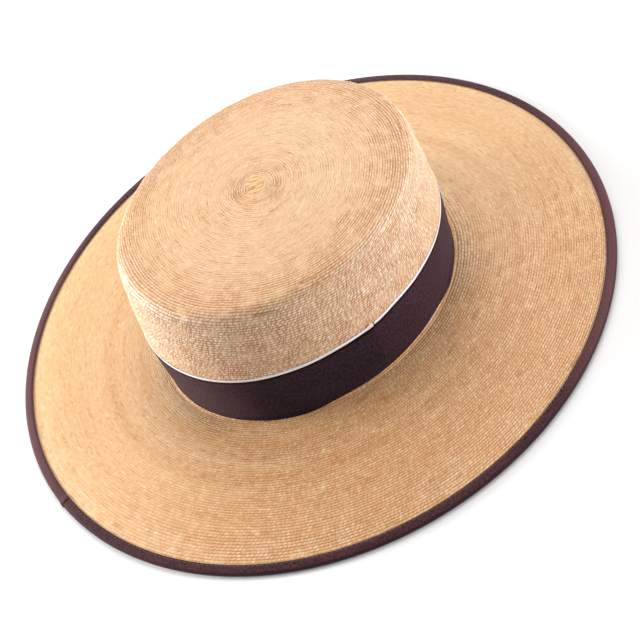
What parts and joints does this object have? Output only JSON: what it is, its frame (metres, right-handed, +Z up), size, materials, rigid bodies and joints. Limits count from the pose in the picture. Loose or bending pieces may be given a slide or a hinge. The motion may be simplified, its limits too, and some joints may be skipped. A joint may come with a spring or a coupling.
{
  "type": "palm leaf straw hat",
  "caption": "Wide-brimmed sewn palm straw hat with an oval flat-topped crown, dark ribbon band with pale edging, and a tape-bound brim that falls a little to its edge.",
  "frame": {"origin": "on the resting surface, under the middle of the hat's oval", "axes": "+Z up through the crown, +X to the front of the hat, away from the binding's join, +Y to the wearer's left"},
  "size_m": [0.401, 0.3678, 0.1196],
  "materials": {
    "palm_braid": "fine sewn palm braid, satin",
    "band_ribbon": "matt corded ribbon",
    "edging_ribbon": "pale satin ribbon",
    "binding_tape": "matt woven tape, stitched near its edge"
  },
  "bodies": {
    "root": {"crown": "palm_braid", "brim": "palm_braid", "hat_band": "band_ribbon", "band_edging": "edging_ribbon", "brim_binding": "binding_tape"}
  },
  "joints": []
}
